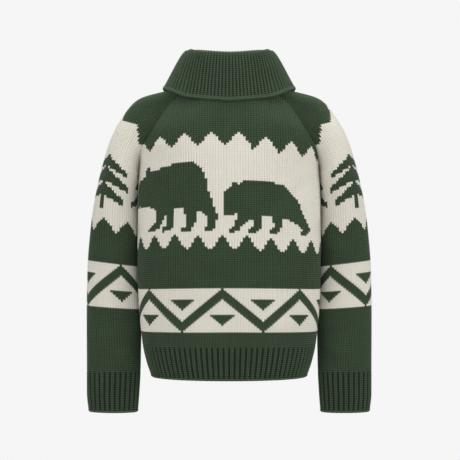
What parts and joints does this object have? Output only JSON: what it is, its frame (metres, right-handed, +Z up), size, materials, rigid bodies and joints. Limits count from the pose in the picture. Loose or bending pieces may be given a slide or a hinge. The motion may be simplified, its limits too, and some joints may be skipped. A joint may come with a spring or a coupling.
{
  "type": "cowichan cardigan",
  "caption": "Thick hand-knit raglan cardigan, worn form: fold-over ribbed collar, ribbed hem and cuffs, button band in front, bold banded pattern of animals, trees and zigzags.",
  "frame": {"origin": "middle of the neck opening, at the height of the neck seam on the shoulders, where a wearer's neck and shoulders hold the garment", "axes": "+Z up, -Y the way the wearer faces (the button band), +Y the back panel, +X the wearer's left sleeve"},
  "size_m": [0.633, 0.2559, 0.7978],
  "materials": {
    "green_wool": "matte",
    "cream_wool": "matte",
    "horn": "satin",
    "thread": "matte"
  },
  "bodies": {
    "root": {"back": "green_wool", "front_left": "green_wool", "front_right": "green_wool", "hem_back": "green_wool", "hem_front_left": "green_wool", "hem_front_right": "green_wool", "sleeve_left": "green_wool", "sleeve_right": "green_wool", "cuff_left": "green_wool", "cuff_right": "green_wool", "collar": "green_wool", "band_left": "green_wool", "band_right": "green_wool", "button_1": "horn", "button_2": "horn", "button_3": "horn", "button_4": "horn", "button_5": "horn", "button_6": "horn"}
  },
  "joints": []
}
